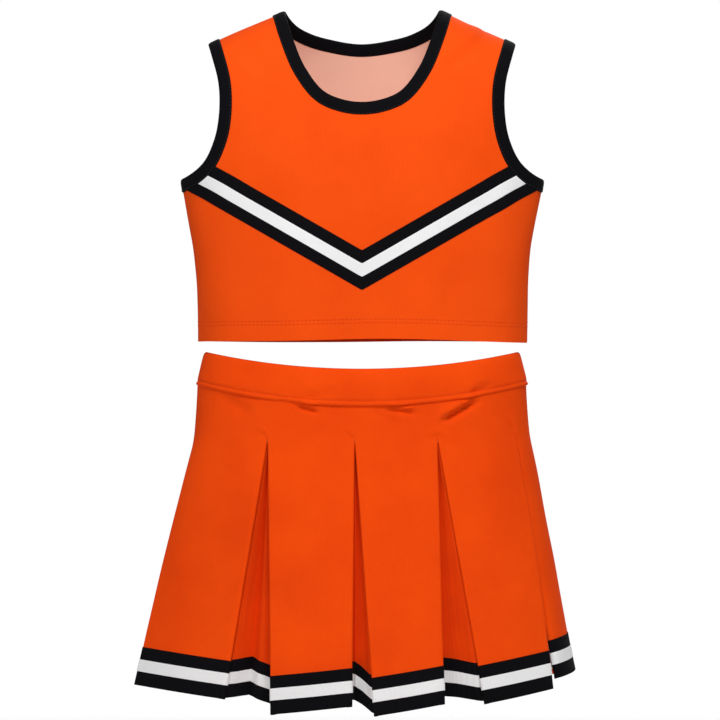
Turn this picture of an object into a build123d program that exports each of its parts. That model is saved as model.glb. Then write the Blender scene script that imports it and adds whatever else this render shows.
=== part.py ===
"""Two-piece cheer uniform: a sleeveless shell top and a pleated skirt, worn shape.

Millimetres. +Z is up, the front faces -Y, +X is the viewer's right.
The origin is the centre of the skirt's waist opening, level with the
waistband's top edge at the centre front.
"""
from build123d import *
import math
import os

os.makedirs("parts", exist_ok=True)

# ---- cloth thicknesses and running gaps -------------------------------------
CLOTH = 1.2          # knit body fabric
EDGE_LIFT = 0.9      # how far a folded binding stands off each cloth face
TAPE = 0.6           # black tape sewn on the cloth
TAPE_TOP = 0.5       # white tape sewn on the black tape
THREAD = 0.5         # height of a stitch line above the cloth
STITCH_WIDTH = 1.0
BAND = 3.0           # waistband, folded double
ELASTIC = 1.0

# ---- top: half width and half depth of the body at each height --------------
BODY_SECTIONS = (
    (16, 147.5, 60),
    (80, 148.5, 63),
    (110, 151, 65),
    (170, 162.5, 68),
    (360, 172, 68),
)
TOP_HEM_Z = 26
TOP_HEM_DEPTH = 18
SHOULDER_Z = 354.5       # where the shoulder lines would meet at x = 0
SHOULDER_FALL = 0.446    # drop per mm of width
SHOULDER_ROLL = 150      # height over which front and back close on each other
ROLL_DEPTH = 72
UNDERARM_Z = 171.5
BINDING = 11

# Neck and armhole edges, right half, as (x, z).
NECK_TOP = (70.5, 326)
FRONT_NECK = (NECK_TOP, (62, 297), (51.3, 271.8), (34.2, 250.2), (18, 243), (0, 240.5))
BACK_NECK = (NECK_TOP, (61.2, 313), (45, 304), (26, 299), (0, 295.8))
ARMHOLE = (
    (139.5, 297), (135, 282.6), (128.7, 257.4), (128.2, 228.6), (132.3, 207), (143, 185.4), (163.5, 171.5))

# Chevron across the chest.
CHEVRON_APEX_Z = 107.6
CHEVRON_STRIPE = 11.95   # stripe height measured straight up
CHEVRON_SLOPE = math.tan(math.radians(30))

# ---- skirt ------------------------------------------------------------------
WAIST_A, WAIST_B = 144, 62          # half width and half depth at the top edge
RELEASE_A, RELEASE_B = 152, 68      # where the pleats are let go
HEM_A, HEM_B = 204, 104
WAIST_RISE = 15                     # sides of the waist above the centre
BAND_CENTRE, BAND_SIDE = -32.5, -14  # waistband seam at centre and at the sides
RELEASE_Z = -60
HEM_Z = -304
HEM_RISE = 26                       # sides of the hem above the centre
PLEATS = 9
PLEAT_TOP_X = (-151.4, -85, -6.7, 68, 140)   # front pleat edges at the release line
PLEAT_HEM_X = (-203, -82, 11, 110, 180)      # the same edges at the hem
PLEAT_OPENING = (46, 20, 37, 10, 30, 30, 30, 30, 34)    # wedge at the hem to the right of each panel
PLEAT_TILT = (4, 4, 4, 4, -4, 4, 4, 4, 4)    # each panel's left hem corner hangs this much lower
TRIM = 33
TRIM_STRIPE = 11
UNDERLAY_GAP = 4.5
UNDERLAY_DROP = 9        # underlays start this far below the release line
UNDERLAY_SHORT = 7       # and end this far above the panels' hem
FLAP_TOP = 9
FLAP_SHARE = 0.42        # most of a panel's width that one underlay's flap may take
FLAP_GROWTH = 84         # how much wider a flap is the more the form turns at its pleat


def save(shape, name):
    export_step(shape, f"parts/{name}.step")
    print(name, round(shape.volume), "solids", len(shape.solids()))


# ---- the top ----------------------------------------------------------------
def body_form(grow):
    rings = []
    for z, half_width, half_depth in BODY_SECTIONS:
        plane = Plane((0, 0, z), x_dir=(1, 0, 0), z_dir=(0, 0, 1))
        rings.append(plane * Ellipse(half_width + grow, half_depth + grow))
    column = loft(rings, ruled=True)
    spring = SHOULDER_Z - SHOULDER_ROLL
    lift = grow / math.cos(math.atan(SHOULDER_FALL))
    dome = Ellipse(ROLL_DEPTH + grow, SHOULDER_ROLL + lift) & Pos(0, 200) * Rectangle(400, 400)
    below = Pos(0, -150) * Rectangle(2 * (ROLL_DEPTH + grow), 300)
    profile = Plane((0, 0, spring), x_dir=(0, 1, 0), z_dir=(1, 0, 0)) * (dome + below)
    right = extrude(profile, amount=200, dir=(1, 0, -SHOULDER_FALL))
    left = extrude(profile, amount=200, dir=(-1, 0, -SHOULDER_FALL))
    return (column & right) + (column & left)


def mirrored(points):
    return tuple(points) + tuple((-x, z) for x, z in reversed(points[:-1]))


def seam_line(points, distance):
    """The same edge moved sideways; positive moves it to the left of its own direction."""
    moved = []
    for i, (x, z) in enumerate(points):
        ax, az = points[max(i - 1, 0)]
        bx, bz = points[min(i + 1, len(points) - 1)]
        length = math.hypot(bx - ax, bz - az)
        moved.append((x - distance * (bz - az) / length, z + distance * (bx - ax) / length))
    return tuple(moved)


def opening_above(points):
    """Closed outline of everything above a neck edge."""
    curve = Spline(*mirrored(points))
    x0, z0 = points[0]
    frame = Polyline((x0, z0), (x0, 420), (-x0, 420), (-x0, z0))
    return make_face(Curve() + [curve, frame])


def opening_beside(points):
    """Closed outline of everything outside an armhole edge."""
    curve = Spline(*points)
    (x0, z0), (x1, z1) = points[0], points[-1]
    frame = Polyline((x1, z1), (260, z1), (260, z0 + 30), (x0, z0 + 30), (x0, z0))
    return make_face(Curve() + [curve, frame])


def through(face, y_from, y_to):
    """Run a front-view outline straight through the garment."""
    plane = Plane((0, y_from, 0), x_dir=(1, 0, 0), z_dir=(0, -1, 0))
    return extrude(plane * face, amount=y_to - y_from, dir=(0, 1, 0))


def block(x0, x1, z0, z1, y0=-200, y1=200):
    return Pos((x0 + x1) / 2, (y0 + y1) / 2, (z0 + z1) / 2) * Box(x1 - x0, y1 - y0, z1 - z0)


front_half = block(-300, 300, -400, 500, y0=-200, y1=0)
back_half = block(-300, 300, -400, 500, y0=0, y1=200)

forms = {grow: body_form(grow) for grow in (
    -EDGE_LIFT, 0, CLOTH, CLOTH + THREAD, CLOTH + TAPE, CLOTH + TAPE + TAPE_TOP, CLOTH + EDGE_LIFT)}


def layer(inner, outer):
    """The skin between two distances from the inside of the cloth, cut off at the hem."""
    return (forms[outer] - forms[inner]) & block(-300, 300, TOP_HEM_Z, 500)


neck_edges = {
    "front": (FRONT_NECK, -200, 0),
    "back": (BACK_NECK, 0, 200),
}
neck_hole = Part()
neck_seam = Part()
for edge, y_from, y_to in neck_edges.values():
    neck_hole += through(opening_above(edge), y_from, y_to)
    neck_seam += through(opening_above(seam_line(edge, BINDING)), y_from, y_to)
arm_hole = {"right": through(opening_beside(ARMHOLE), -200, 200)}
arm_seam = {"right": through(opening_beside(seam_line(ARMHOLE, -BINDING)), -200, 200)}
for cut in (arm_hole, arm_seam):
    cut["left"] = mirror(cut["right"], Plane.YZ)
arm_seams = arm_seam["right"] + arm_seam["left"]

cloth = layer(0, CLOTH) - neck_seam - arm_seams
save(cloth & front_half, "top_front_panel")
save(cloth & back_half, "top_back_panel")

edging = layer(-EDGE_LIFT, CLOTH + EDGE_LIFT)
save((edging & neck_seam) - neck_hole, "neck_binding")
for side in ("left", "right"):
    save((edging & arm_seam[side]) - arm_hole[side] - neck_seam, f"armhole_binding_{side}")


def chevron(first, last):
    """Front-view outline of the chevron between two of its stripe edges."""
    top = CHEVRON_APEX_Z - first * CHEVRON_STRIPE
    bottom = CHEVRON_APEX_Z - last * CHEVRON_STRIPE
    rise = 200 * CHEVRON_SLOPE
    outline = Polyline(
        (0, top), (200, top + rise), (200, bottom + rise), (0, bottom),
        (-200, bottom + rise), (-200, top + rise), close=True)
    return through(make_face(outline), -200, 0)


black_tape = layer(CLOTH, CLOTH + TAPE) & chevron(0, 3)
save(black_tape - arm_seams, "chevron_black_tape")
white_tape = layer(CLOTH + TAPE, CLOTH + TAPE + TAPE_TOP) & chevron(1, 2)
save(white_tape - arm_seams, "chevron_white_tape")

turn_up = layer(-EDGE_LIFT, 0) & block(-300, 300, TOP_HEM_Z, TOP_HEM_Z + TOP_HEM_DEPTH)
save(turn_up, "top_hem_turn_up")
rows = Part()
for row in (-1.5, 1.5):
    z = TOP_HEM_Z + TOP_HEM_DEPTH - 2 + row
    rows += layer(CLOTH, CLOTH + THREAD) & block(-300, 300, z - STITCH_WIDTH / 2, z + STITCH_WIDTH / 2)
save(rows, "top_hem_stitching")


# ---- waistband --------------------------------------------------------------
WAIST_SECTIONS = ((26, -7.5), (0, -1), (-12, 2), (-36, 3))     # height, growth of the ellipse


def waist_form(grow):
    rings = []
    for z, spread in WAIST_SECTIONS:
        plane = Plane((0, 0, z), x_dir=(1, 0, 0), z_dir=(0, 0, 1))
        rings.append(plane * Ellipse(WAIST_A + spread + grow, WAIST_B + spread + grow))
    return loft(rings, ruled=True)


def saddle(centre, side, low):
    """Everything in the front view between a bowed line and the level low."""
    bow = (side - centre) * (170 / WAIST_A) ** 2
    arc = ThreePointArc((-170, centre + bow), (0, centre), (170, centre + bow))
    frame = Polyline((170, centre + bow), (170, low), (-170, low), (-170, centre + bow))
    return through(make_face(Curve() + [arc, frame]), -200, 200)


def bowed_band(top_inset, bottom_inset):
    above = saddle(-top_inset, WAIST_RISE - top_inset, -100)
    return above - saddle(BAND_CENTRE + bottom_inset, BAND_SIDE + bottom_inset, -120)


band_out = waist_form(BAND)
band_in = waist_form(0)
casing_out = waist_form((BAND + ELASTIC) / 2 + 0.1)
casing_in = waist_form((BAND - ELASTIC) / 2 - 0.1)
casing = (casing_out - casing_in) & bowed_band(3, 4)
save(((band_out - band_in) & bowed_band(0, 0)) - casing, "waistband")
elastic_ring = waist_form((BAND + ELASTIC) / 2) - waist_form((BAND - ELASTIC) / 2)
save(elastic_ring & bowed_band(3.2, 4.2), "waist_elastic")
seam_row = saddle(BAND_CENTRE + 5, BAND_SIDE + 5, -100)
seam_row -= saddle(BAND_CENTRE + 4, BAND_SIDE + 4, -120)
save((waist_form(BAND + THREAD) - band_out) & seam_row, "waist_seam_stitching")


# ---- pleat layout -----------------------------------------------------------
def walk(a, b, steps=1440):
    """Points round an ellipse from the centre front towards +X, with their distances."""
    points, distances = [(0.0, -b)], [0.0]
    for i in range(1, steps + 1):
        t = 2 * math.pi * i / steps
        p = (a * math.sin(t), -b * math.cos(t))
        distances.append(distances[-1] + math.dist(p, points[-1]))
        points.append(p)
    return points, distances


def point_on(ring, s):
    points, distances = ring
    s %= distances[-1]
    i = next(k for k, d in enumerate(distances) if d > s)
    f = (s - distances[i - 1]) / (distances[i] - distances[i - 1])
    (x0, y0), (x1, y1) = points[i - 1], points[i]
    return x0 + f * (x1 - x0), y0 + f * (y1 - y0)


def front_distance(ring, x):
    points, distances = ring
    quarter = len(points) // 4
    i = min(range(quarter + 1), key=lambda k: abs(points[k][0] - abs(x)))
    return math.copysign(distances[i], x)


def pleat_starts(ring, front_x):
    """Distances round the ring where each pleat starts: the front ones, then the rest evenly."""
    starts = [front_distance(ring, x) for x in front_x]
    rest = PLEATS - len(starts) + 1
    left_over = ring[1][-1] + starts[0] - starts[-1]
    return starts + [starts[-1] + left_over * k / rest for k in range(1, rest)]


release_ring = walk(RELEASE_A, RELEASE_B)
hem_ring = walk(HEM_A, HEM_B)
release_starts = pleat_starts(release_ring, PLEAT_TOP_X)
release = [Vector(*point_on(release_ring, s), RELEASE_Z) for s in release_starts]
hem_starts = pleat_starts(hem_ring, PLEAT_HEM_X)
UP = Vector(0, 0, 1)


def hem_point(s):
    x, y = point_on(hem_ring, s)
    return Vector(x, y, HEM_Z + HEM_RISE * (x / HEM_A) ** 2)


class Slope:
    """The plane of one pleat panel: along the release line and down the cloth."""

    def __init__(self, i):
        self.start = release[i]
        self.end = release[(i + 1) % PLEATS]
        chord = self.end - self.start
        self.along = chord.normalized()
        self.level_out = self.along.cross(UP)
        next_start = hem_starts[i + 1] if i + 1 < PLEATS else hem_starts[0] + hem_ring[1][-1]
        self.hem_left = hem_point(hem_starts[i]) - UP * PLEAT_TILT[i]
        self.hem_right = hem_point(next_start - PLEAT_OPENING[i]) + UP * PLEAT_TILT[i]
        self.hem_width = (self.hem_right - self.hem_left).dot(self.along)
        middle = (self.hem_left + self.hem_right) * 0.5 - self.start
        fall = self.level_out * middle.dot(self.level_out) + UP * middle.Z
        self.down = fall.normalized()
        self.out = self.down.cross(self.along).normalized()
        if self.out.dot(self.level_out) < 0:
            self.out = self.out * -1

    def put(self, point, lift=0.0):
        """The plane's point at the same height and place along the panel, lifted off it."""
        offset = point - self.start
        across = self.along * offset.dot(self.along)
        return self.start + across + self.down * (offset.Z / self.down.Z) + self.out * lift


def plate(corners, direction, thickness):
    return extrude(make_face(Polyline(*corners, close=True)), amount=thickness, dir=direction)


def between(a, b, f):
    return a + (b - a) * f


slopes = [Slope(i) for i in range(PLEATS)]


# ---- yoke -------------------------------------------------------------------
def yoke_form(inset):
    """From an ellipse at the waist to the pleats' straight release lines."""
    top, bottom = [], []
    corner = []
    for i, slope in enumerate(slopes):
        before = slopes[i - 1]
        bisector = (before.level_out + slope.level_out).normalized()
        corner.append(slope.start - bisector * (inset / bisector.dot(slope.level_out)))
    waist_ring = walk(WAIST_A + BAND - inset, WAIST_B + BAND - inset)
    around = waist_ring[1][-1] / release_ring[1][-1]
    starts = release_starts + [release_starts[0] + release_ring[1][-1]]
    for i in range(PLEATS):
        for f in (0, 0.25, 0.5, 0.75):
            s = (starts[i] + (starts[i + 1] - starts[i]) * f) * around
            top.append(Vector(*point_on(waist_ring, s), 0))
            bottom.append(between(corner[i], corner[(i + 1) % PLEATS], f))
    rings = [make_face(Polyline(*ring, close=True)) for ring in (top, bottom)]
    return loft(rings, ruled=True)


yoke = yoke_form(0) - yoke_form(CLOTH)
save(yoke & saddle(BAND_CENTRE, BAND_SIDE, -120), "skirt_yoke")


# ---- pleat panels with their hem tapes --------------------------------------
def hem_tape(slope, corners, low, high, lift, thickness):
    """A strip across a panel, from low to high millimetres up from its hem."""
    top_left, top_right, right, left = corners
    outline = []
    for height in (low, high):
        ends = [
            between(left, top_left, height / (left - top_left).length),
            between(right, top_right, height / (right - top_right).length)]
        outline += ends if height == low else ends[::-1]
    return plate([corner + slope.out * lift for corner in outline], slope.out, thickness)


for i, slope in enumerate(slopes):
    top_left = slope.start + slope.along * 1.5 + slope.down * 0.6
    top_right = slope.end - slope.along * 1.5 + slope.down * 0.6
    corners = (top_left, top_right, slope.put(slope.hem_right), slope.put(slope.hem_left))
    save(plate(corners, slope.out * -1, CLOTH), f"panel_{i + 1}")
    save(hem_tape(slope, corners, 0, TRIM, 0, TAPE), f"panel_{i + 1}_black_tape")
    white = hem_tape(slope, corners, TRIM_STRIPE, 2 * TRIM_STRIPE, TAPE, TAPE_TOP)
    save(white, f"panel_{i + 1}_white_tape")


# ---- underlays behind the openings ------------------------------------------
def fold_at(pair, z):
    """Two neighbouring panels' planes, set back by the gap, meet in a line: its point at height z."""
    meet = []
    for slope in pair:
        on_plane = slope.put(Vector(slope.start.X, slope.start.Y, z), -UNDERLAY_GAP)
        meet.append((slope.out.X, slope.out.Y, slope.out.dot(on_plane) - slope.out.Z * z))
    (a, b, c), (d, e, f) = meet
    det = a * e - b * d
    return Vector((c * e - b * f) / det, (a * f - c * d) / det, z)


for i, right_slope in enumerate(slopes):
    left_slope = slopes[i - 1]
    pair = (left_slope, right_slope)
    bisector = (left_slope.level_out + right_slope.level_out).normalized()
    half_turn = math.acos(min(1.0, bisector.dot(right_slope.level_out)))
    wanted_flap = FLAP_TOP + FLAP_GROWTH * math.sin(half_turn)
    hem_z = (left_slope.hem_right.Z + right_slope.hem_left.Z) / 2 + UNDERLAY_SHORT
    fold_top = fold_at(pair, RELEASE_Z - UNDERLAY_DROP)
    fold_hem = fold_at(pair, hem_z)
    fold_length = (fold_top - fold_hem).length
    cloth_half, tape_half = [], []
    for slope, edge, sign in ((left_slope, left_slope.hem_right, -1), (right_slope, right_slope.hem_left, 1)):
        to_edge = (edge - fold_hem).dot(slope.along) * sign
        flap = min(wanted_flap, FLAP_SHARE * slope.hem_width)
        hem_side = fold_hem + slope.along * sign * (to_edge + flap)
        hem_side = slope.put(Vector(hem_side.X, hem_side.Y, hem_z), -UNDERLAY_GAP)
        top_side = fold_top + slope.along * sign * FLAP_TOP
        slant = bisector.dot(slope.out)
        cloth_half.append(plate((fold_top, top_side, hem_side, fold_hem), bisector * -1, CLOTH / slant))
        fold_mark = between(fold_hem, fold_top, TRIM / fold_length)
        side_mark = between(hem_side, top_side, TRIM / (top_side - hem_side).length)
        tape_half.append(plate((fold_mark, side_mark, hem_side, fold_hem), bisector, TAPE / slant))
    save(cloth_half[0] + cloth_half[1], f"underlay_{i + 1}")
    save(tape_half[0] + tape_half[1], f"underlay_{i + 1}_tape")
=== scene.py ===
import math

import bpy
import numpy as np
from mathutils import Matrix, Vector
from mathutils.geometry import delaunay_2d_cdt


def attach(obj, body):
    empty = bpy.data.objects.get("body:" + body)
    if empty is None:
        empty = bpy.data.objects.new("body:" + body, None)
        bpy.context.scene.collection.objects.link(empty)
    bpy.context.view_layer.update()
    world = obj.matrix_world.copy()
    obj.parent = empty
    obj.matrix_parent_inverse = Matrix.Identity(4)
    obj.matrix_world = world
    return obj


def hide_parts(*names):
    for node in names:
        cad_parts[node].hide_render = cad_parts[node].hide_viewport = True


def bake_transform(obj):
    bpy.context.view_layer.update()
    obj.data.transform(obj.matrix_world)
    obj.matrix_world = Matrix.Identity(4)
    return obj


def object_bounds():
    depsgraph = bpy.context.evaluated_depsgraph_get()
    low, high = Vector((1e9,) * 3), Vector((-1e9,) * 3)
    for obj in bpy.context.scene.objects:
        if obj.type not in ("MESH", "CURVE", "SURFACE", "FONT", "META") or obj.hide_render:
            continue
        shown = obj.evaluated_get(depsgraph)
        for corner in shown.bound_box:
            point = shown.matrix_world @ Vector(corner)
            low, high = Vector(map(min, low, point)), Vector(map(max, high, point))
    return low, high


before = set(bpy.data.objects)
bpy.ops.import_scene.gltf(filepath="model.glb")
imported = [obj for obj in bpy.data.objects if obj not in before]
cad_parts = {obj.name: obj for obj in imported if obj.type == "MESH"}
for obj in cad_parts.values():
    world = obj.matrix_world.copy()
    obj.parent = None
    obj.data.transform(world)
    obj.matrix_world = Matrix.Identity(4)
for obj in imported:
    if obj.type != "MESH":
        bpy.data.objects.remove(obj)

cad_low, cad_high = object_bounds()

# Shapes below are worked out in millimetres, in the CAD's frame.
PER_METRE = 1000
CLOTH = 1.2  # thickness of the knit
UP = np.array([0.0, 0.0, 1.0])

# ======== small mesh kit


def lerp(a, b, f):
    return a + (b - a) * f


def unit(v):
    """Vectors of length one, along the last axis."""
    return v / np.linalg.norm(v, axis=-1, keepdims=True)


def in_scene(name, data):
    obj = bpy.data.objects.new(name, data)
    bpy.context.scene.collection.objects.link(obj)
    return obj


def make_mesh(name, points, faces, materials, slots=None):
    mesh = bpy.data.meshes.new(name)
    mesh.from_pydata((np.asarray(points, float) / PER_METRE).tolist(), [], [list(map(int, f)) for f in faces])
    for material in materials:
        mesh.materials.append(material)
    if slots is not None:
        mesh.polygons.foreach_set("material_index", np.asarray(slots, np.int32))
    mesh.polygons.foreach_set("use_smooth", np.ones(len(faces), bool))
    mesh.update()
    mesh.validate()
    return in_scene(name, mesh)


def sharpen(obj, degrees=60):
    """Marks the edges that turn sharply, so that a rim doesn't dull the face beside it."""
    normals = {}
    for polygon in obj.data.polygons:
        for key in polygon.edge_keys:
            normals.setdefault(key, []).append(polygon.normal.copy())
    limit = math.cos(math.radians(degrees))
    for edge in obj.data.edges:
        near = normals.get(edge.key, [])
        edge.use_edge_sharp = len(near) != 2 or near[0].dot(near[1]) < limit


def grid_faces(rows, columns, start=0, close_rows=False, close_columns=False, flip=False):
    faces = []
    for r in range(rows if close_rows else rows - 1):
        for c in range(columns if close_columns else columns - 1):
            r2, c2 = (r + 1) % rows, (c + 1) % columns
            corners = ((r, c), (r, c2), (r2, c2), (r2, c))
            face = [start + row * columns + column for row, column in corners]
            faces.append(face[::-1] if flip else face)
    return faces


def outward(obj):
    """Turns a closed mesh's faces outward."""
    mesh = obj.data
    mesh.calc_loop_triangles()
    co = np.array([v.co for v in mesh.vertices])
    tri = np.array([t.vertices for t in mesh.loop_triangles])
    a, b, c = co[tri[:, 0]], co[tri[:, 1]], co[tri[:, 2]]
    if (a * np.cross(b, c)).sum() < 0:
        mesh.flip_normals()
    return obj


def tube(name, points, material):
    """A ring of closed sections: a grid of points (round the ring, round the section)."""
    faces = grid_faces(*points.shape[:2], close_rows=True, close_columns=True)
    return outward(make_mesh(name, points.reshape(-1, 3), faces, [material]))


def slab(name, outer, inner, material, degrees=60, wrong=None):
    """A closed shell between two grids of points, its inner faces in peach where wrong says so."""
    rows, columns = np.shape(outer)[:2]
    n = rows * columns
    points = np.concatenate([np.reshape(outer, (-1, 3)), np.reshape(inner, (-1, 3))])
    front, back = grid_faces(rows, columns), grid_faces(rows, columns, n, flip=True)
    ids = np.arange(n).reshape(rows, columns)
    border = [*ids[0], *ids[1:, -1], *ids[-1, -2::-1], *ids[-2:0:-1, 0]]
    faces = front + back + [[b, a, a + n, b + n] for a, b in zip(border, border[1:] + border[:1])]
    materials, slots = [material], np.zeros(len(faces), int)
    if wrong is not None:
        materials.append(PEACH)
        slots[len(front):2 * len(front)] = wrong
    obj = outward(make_mesh(name, points, faces, materials, slots))
    sharpen(obj, degrees)
    return obj


def grid_normals(points, middle, out):
    """Every point's normal, turned so that the one at the middle point faces out."""
    normal = unit(np.cross(np.gradient(points, axis=1), np.gradient(points, axis=0)))
    return normal if normal[middle] @ out > 0 else -normal


def grid_area(points):
    a, b, c, d = points[:-1, :-1], points[:-1, 1:], points[1:, 1:], points[1:, :-1]
    return float(0.5 * np.linalg.norm(np.cross(c - a, d - b), axis=-1).sum())


def spline(points, count):
    """A smooth curve of count points through a few given ones."""
    p = np.asarray(points, float)
    t = np.concatenate([[0], np.cumsum(np.linalg.norm(np.diff(p, axis=0), axis=1) ** 0.7)])
    slope = np.empty_like(p)
    h = np.diff(t)[:, None]
    d = np.diff(p, axis=0) / h
    slope[1:-1] = (d[:-1] * h[1:] + d[1:] * h[:-1]) / (h[1:] + h[:-1])
    slope[0] = 2 * d[0] - slope[1]
    slope[-1] = 2 * d[-1] - slope[-2]
    u = np.linspace(0, t[-1], count)
    k = np.clip(np.searchsorted(t, u, side="right") - 1, 0, len(t) - 2)
    step = h[k, 0]
    s = ((u - t[k]) / step)[:, None]
    step = step[:, None]
    return (
        (2 * s ** 3 - 3 * s ** 2 + 1) * p[k] + (s ** 3 - 2 * s ** 2 + s) * step * slope[k]
        + (-2 * s ** 3 + 3 * s ** 2) * p[k + 1] + (s ** 3 - s ** 2) * step * slope[k + 1]
    )


def lengths_along(points):
    return np.concatenate([[0], np.cumsum(np.linalg.norm(np.diff(points, axis=0), axis=1))])


def at_lengths(where, lengths, points):
    """The points of a curve at the given lengths along it."""
    return np.stack([np.interp(where, lengths, column) for column in points.T], axis=-1)


def even(points, count):
    """The same open curve with its points evenly spaced."""
    lengths = lengths_along(points)
    return at_lengths(np.linspace(0, lengths[-1], count), lengths, points)


def sideways(points, distance):
    """A front-view curve moved sideways; positive moves it to the left of its own direction."""
    d = unit(np.gradient(points, axis=0))
    return points + distance * np.stack([-d[:, 1], d[:, 0]], axis=1)


def smoothstep(low, high, value):
    t = np.clip((value - low) / (high - low), 0, 1)
    return t * t * (3 - 2 * t)


STITCH_WIDTH = 0.34
STITCH_SIDES = 6
STITCH_STEPS = (-1, -0.75, 0, 0.75, 1)
PRESSED_IN = 0.18  # how far a stitch's ends go into the cloth


def stitches(name, points, normals, material, length, gap=0.9, height=0.28):
    """Separate sewn stitches along a line: each one is a short plump capsule pressed into the cloth."""
    lengths = lengths_along(points)
    count = int(lengths[-1] / (length + gap))
    pitch = lengths[-1] / count
    verts, faces = [], []
    for i in range(count):
        middle = (i + 0.5) * pitch
        at = at_lengths(middle, lengths, points)
        up = unit(at_lengths(middle, lengths, normals))
        along = at_lengths(middle + 0.5, lengths, points) - at
        along = unit(along - up * (along @ up))
        side = np.cross(up, along)
        base = len(verts)
        for f in STITCH_STEPS:
            plump = math.sqrt(1 - abs(f) ** 3) + 0.05
            for k in range(STITCH_SIDES):
                angle = 2 * math.pi * k / STITCH_SIDES
                verts.append(
                    at + along * (f * length / 2) + side * (STITCH_WIDTH * plump * math.cos(angle))
                    + up * (height * plump * (0.35 + math.sin(angle)) - PRESSED_IN * abs(f)))
        faces += grid_faces(len(STITCH_STEPS), STITCH_SIDES, base, close_columns=True)
        last = base + (len(STITCH_STEPS) - 1) * STITCH_SIDES
        faces.append(list(range(base, base + STITCH_SIDES))[::-1])
        faces.append(list(range(last, last + STITCH_SIDES)))
    return make_mesh(name, verts, faces, [material])


# ======== materials


def node_material(name):
    material = bpy.data.materials.new(name)
    material.use_nodes = True
    return material, material.node_tree, material.node_tree.nodes["Principled BSDF"]


def add(tree, kind, sockets=None, **settings):
    """A new node with its settings, and its sockets set to values or linked to other nodes' outputs."""
    node = tree.nodes.new(kind)
    for key, value in settings.items():
        setattr(node, key, value)
    for key, value in (sockets or {}).items():
        if isinstance(value, bpy.types.NodeSocket):
            tree.links.new(value, node.inputs[key])
        else:
            node.inputs[key].default_value = value
    return node


def maths(tree, operation, *values):
    return add(tree, "ShaderNodeMath", dict(enumerate(values)), operation=operation).outputs[0]


def remap(tree, value, source=(0.0, 1.0), target=(0.0, 1.0), kind="LINEAR"):
    ends = {"From Min": source[0], "From Max": source[1], "To Min": target[0], "To Max": target[1]}
    node = add(tree, "ShaderNodeMapRange", {"Value": value, **ends}, interpolation_type=kind)
    return node.outputs["Result"]


def noise(tree, place, scale, detail, roughness=0.5):
    sockets = {"Vector": place, "Scale": scale, "Detail": detail, "Roughness": roughness}
    return add(tree, "ShaderNodeTexNoise", sockets).outputs["Fac"]


RIB_GIRTH = 680  # millimetres round the form, for counting the ribs
WAVE_SCALE = 314.0  # the wave texture's scale for bands a millimetre apart


def knit(name, colour, dark, rough=0.82, sheen=0.04, rib=1.15, bump=0.35, speck=0.05):
    """Fine double-knit cloth: ribs of small loops, slight mottling and a soft sheen."""
    material, tree, shader = node_material(name)
    place = add(tree, "ShaderNodeTexCoord").outputs["Object"]
    broad = noise(tree, place, 14.0, 4.0, 0.55)
    fine = noise(tree, place, 900.0, 2.0, 0.6)
    rounder = add(tree, "ShaderNodeVectorMath", {0: place, 1: (1.0, 1.6, 1.0)}, operation="MULTIPLY")
    angle = add(
        tree, "ShaderNodeTexGradient", {"Vector": rounder.outputs["Vector"]}, gradient_type="RADIAL")
    turns = maths(tree, "MULTIPLY", angle.outputs["Fac"], round(RIB_GIRTH / rib) * 2 * math.pi)
    wales = remap(tree, maths(tree, "SINE", turns), source=(-1.0, 1.0))
    courses = add(
        tree, "ShaderNodeTexWave",
        {"Vector": place, "Scale": WAVE_SCALE / (rib * 0.8), "Distortion": 0.9, "Detail": 1.0,
         "Detail Scale": 2.0}, wave_type="BANDS", bands_direction="Z")
    loops = maths(tree, "MULTIPLY", wales, courses.outputs["Fac"])
    height = maths(tree, "MULTIPLY_ADD", loops, 0.6, maths(tree, "MULTIPLY", fine, 0.55))
    mottle = remap(tree, broad, source=(0.3, 0.62))
    mottled = add(tree, "ShaderNodeMix", {0: mottle, 6: (*dark, 1), 7: (*colour, 1)}, data_type="RGBA")
    grain = remap(tree, height, target=(1.0 - 2.4 * speck, 1.0 + speck))
    flecks = {0: 1.0, 6: mottled.outputs[2], 7: grain}
    flecked = add(tree, "ShaderNodeMix", flecks, data_type="RGBA", blend_type="MULTIPLY")
    relief = add(tree, "ShaderNodeBump", {"Strength": bump, "Distance": 0.0003, "Height": height})
    roughness = remap(tree, broad, target=(rough - 0.06, min(1.0, rough + 0.08)))
    tree.links.new(flecked.outputs[2], shader.inputs["Base Color"])
    tree.links.new(relief.outputs["Normal"], shader.inputs["Normal"])
    tree.links.new(roughness, shader.inputs["Roughness"])
    shader.inputs["Specular IOR Level"].default_value = 0.07
    shader.inputs["Sheen Weight"].default_value = sheen
    shader.inputs["Sheen Roughness"].default_value = 0.45
    shader.inputs["Sheen Tint"].default_value = (*[min(1.0, c * 0.6 + 0.3) for c in colour], 1)
    return material


ORANGE = knit("orange_knit", (0.93, 0.083, 0.0040), (0.87, 0.072, 0.0028), sheen=0.0)
ORANGE_SKIRT = knit("orange_skirt_knit", (0.93, 0.074, 0.0020), (0.84, 0.059, 0.0012), sheen=0.0)
# A darker copy of the skirt's orange, used on the underlays: painted shade for the recess behind the panels'
# edges
ORANGE_PAINTED_SHADE = knit("orange_knit_painted_shade", (0.83, 0.056, 0.0014), (0.74, 0.045, 0.0010), sheen=0.0)
PEACH = knit("knit_wrong_side", (0.99, 0.55, 0.42), (0.95, 0.50, 0.37), bump=0.3)
BLACKS = (0.0045, 0.0040, 0.006), (0.003, 0.003, 0.004)
BLACK = knit("black_knit_binding", *BLACKS, rough=0.86, sheen=0.01, speck=0.25, bump=0.45, rib=0.9)
BLACK_TAPE = knit("black_woven_tape", *BLACKS, rough=0.84, sheen=0.01, speck=0.25, bump=0.6, rib=1.3)
WHITE_TAPE = knit(
    "white_woven_tape", (0.90, 0.90, 0.90), (0.84, 0.845, 0.85), rough=0.85, sheen=0.05, bump=0.6, rib=1.3)
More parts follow.
